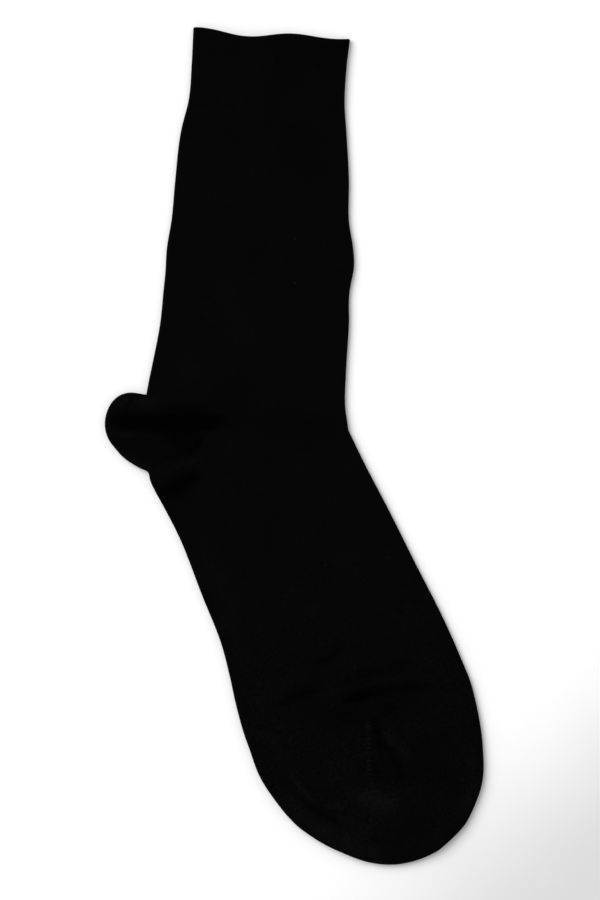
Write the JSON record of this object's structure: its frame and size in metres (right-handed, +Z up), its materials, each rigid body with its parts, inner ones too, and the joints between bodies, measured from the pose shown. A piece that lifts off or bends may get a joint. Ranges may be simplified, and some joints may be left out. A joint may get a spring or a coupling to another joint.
{
  "type": "sock",
  "caption": "Black fine-knit crew sock lying flat on its side, with a double welt, short-row heel pocket and a seamed toe.",
  "frame": {"origin": "middle of the sock's outline, on the surface that it lies on", "axes": "+X towards the shin and the top of the foot, +Y up the leg to the mouth, +Z up from the surface"},
  "size_m": [0.1752, 0.3894, 0.0061],
  "materials": {
    "welt_knit": "fine double knit with elastic laid in, soft",
    "plain_knit": "fine plain knit, soft and slightly fuzzy",
    "pocket_knit": "fine plain knit, reinforced and denser"
  },
  "bodies": {
    "root": {"welt": "welt_knit", "leg": "plain_knit", "heel": "pocket_knit", "foot": "plain_knit", "toe": "pocket_knit"}
  },
  "joints": []
}
